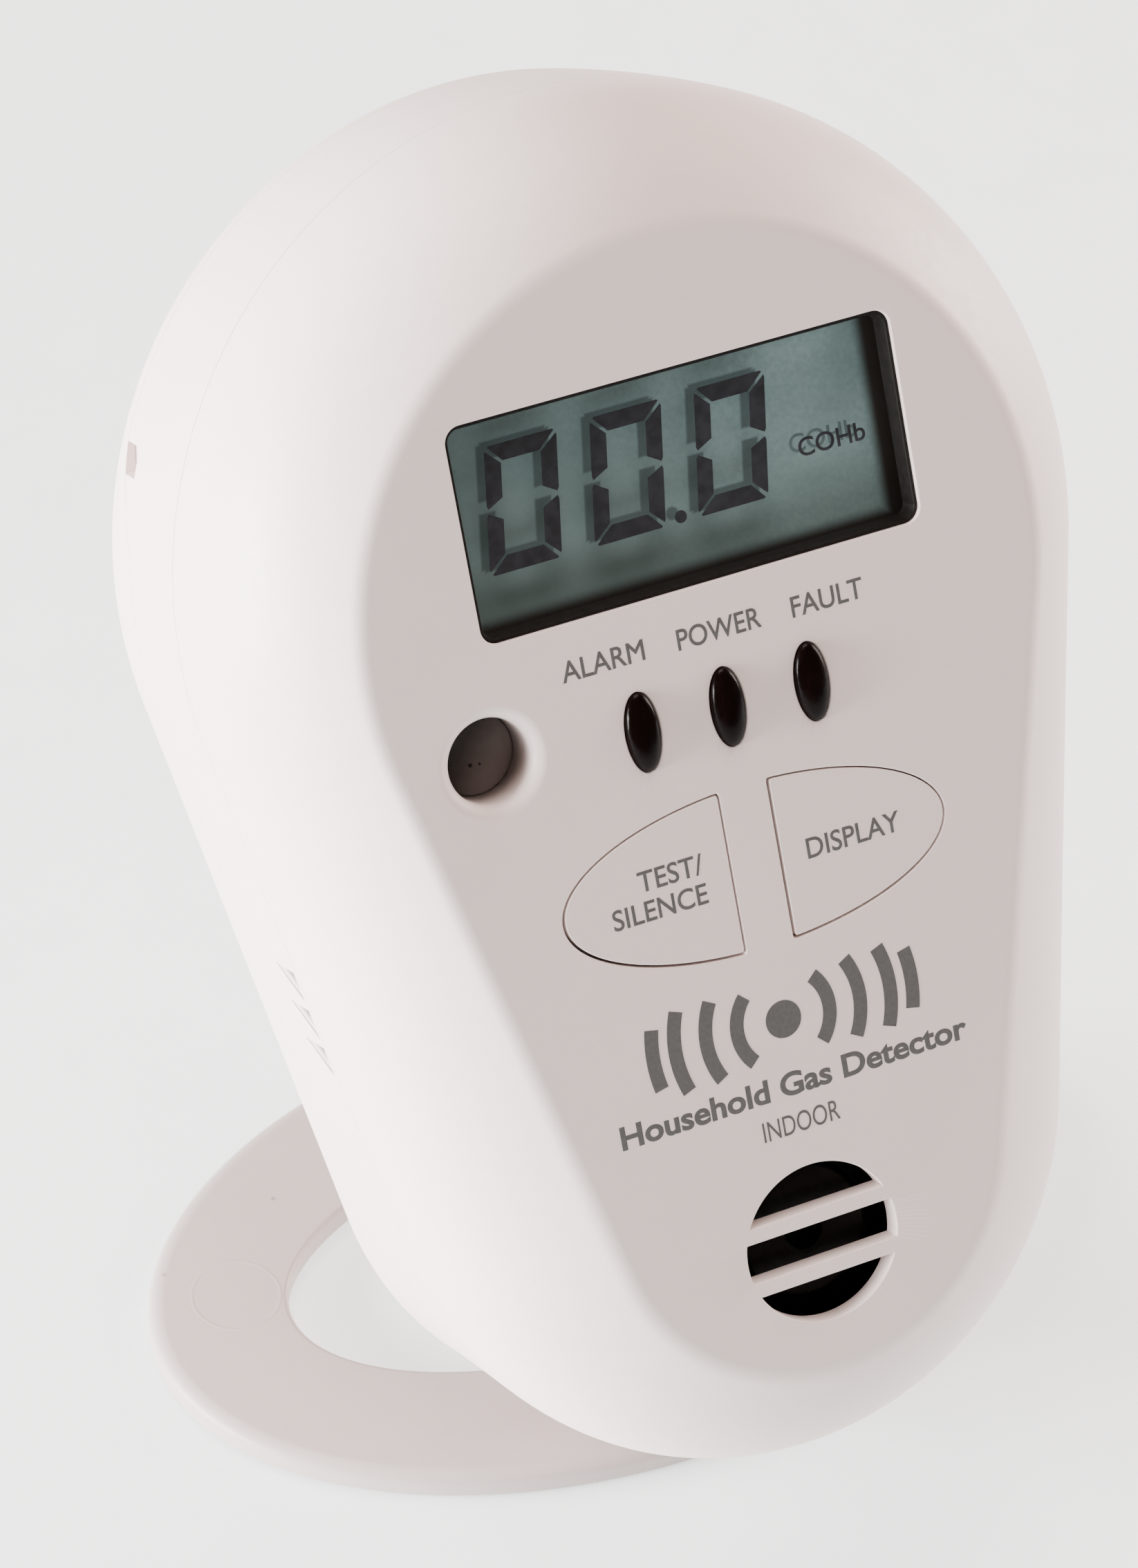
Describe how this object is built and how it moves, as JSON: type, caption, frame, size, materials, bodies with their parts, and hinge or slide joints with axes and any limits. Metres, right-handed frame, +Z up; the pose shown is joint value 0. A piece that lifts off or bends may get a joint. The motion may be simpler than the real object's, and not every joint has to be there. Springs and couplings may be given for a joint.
{
  "type": "carbon monoxide detector",
  "caption": "Free-standing gas detector: an egg-shaped housing leaning back on a folding ring stand, with display, status lights, split push button and sounder grille.",
  "frame": {"origin": "middle of the underside of the bounding box, on the surface the stand rests on", "axes": "+X to the right of someone facing the display, +Y away from them through the housing, +Z up"},
  "size_m": [0.0848, 0.0842, 0.1177],
  "materials": {
    "shell": "satin off-white moulding",
    "button": "satin off-white moulding",
    "stand": "satin off-white moulding",
    "black_plastic": "black moulding",
    "dark_lens": "dark smoked lens",
    "display_glass": "reflective display cell",
    "white_plastic": "white moulding",
    "contact_rubber": "conductive strip",
    "board": "green solder mask",
    "steel": "plated",
    "brass": "plain",
    "cell_jacket": "blue shrink sleeve",
    "led_clear": "clear resin",
    "winding": "enamelled copper wire",
    "label": "silver-grey film",
    "red_lead": "red insulation"
  },
  "bodies": {
    "housing": {"front_cover": "shell", "rear_cover": "shell", "back_plate": "shell", "rating_label": "label", "hinge_pin": "steel", "test_switch_body": "black_plastic", "display_switch_body": "black_plastic", "lcd_bezel": "black_plastic", "lcd_glass": "display_glass", "lcd_reflector": "white_plastic", "lcd_holder": "white_plastic", "zebra_strip_upper": "contact_rubber", "zebra_strip_lower": "contact_rubber", "led_lens_alarm": "dark_lens", "led_lens_power": "dark_lens", "led_lens_fault": "dark_lens", "led_alarm": "led_clear", "led_power": "led_clear", "led_fault": "led_clear", "port_insert": "black_plastic", "light_sensor": "led_clear", "main_board": "board", "microcontroller": "black_plastic", "driver_chip": "black_plastic", "smoothing_capacitor": "black_plastic", "sounder_coil": "winding", "gas_sensor_base": "black_plastic", "gas_sensor_can": "steel", "gas_sensor_cap": "white_plastic", "sounder_case": "black_plastic", "piezo_disc": "brass", "piezo_ceramic": "white_plastic", "sounder_retainer": "white_plastic", "sounder_lead_red": "red_lead", "sounder_lead_black": "black_plastic", "cell_upper": "cell_jacket", "cell_lower": "cell_jacket", "battery_link": "steel", "battery_tab_positive": "steel", "battery_tab_negative": "steel", "cell_saddle_left": "white_plastic", "cell_saddle_right": "white_plastic", "case_screw_upper_left": "steel", "case_screw_upper_right": "steel", "case_screw_lower_left": "steel", "case_screw_lower_right": "steel", "board_screw_left": "steel", "board_screw_right": "steel", "plate_screw_left": "steel", "plate_screw_right": "steel"},
    "stand": {"stand_ring": "stand"},
    "test_button": {"test_button": "button", "test_switch_plunger": "white_plastic"},
    "display_button": {"display_button": "button", "display_switch_plunger": "white_plastic"}
  },
  "joints": [
    {"name": "stand_hinge", "type": "hinge", "parent": "housing", "child": "stand", "pos_m": [0, -0.01647, 0.0066], "axis": [1, 0, 0], "range_deg": [0, 60]},
    {"name": "test_button_slide", "type": "slide", "parent": "housing", "child": "test_button", "axis": [0, 0.866, -0.5], "range_m": [0, 0.0005], "stiffness_N_per_m": 1500},
    {"name": "display_button_slide", "type": "slide", "parent": "housing", "child": "display_button", "axis": [0, 0.866, -0.5], "range_m": [0, 0.0005], "stiffness_N_per_m": 1500}
  ]
}
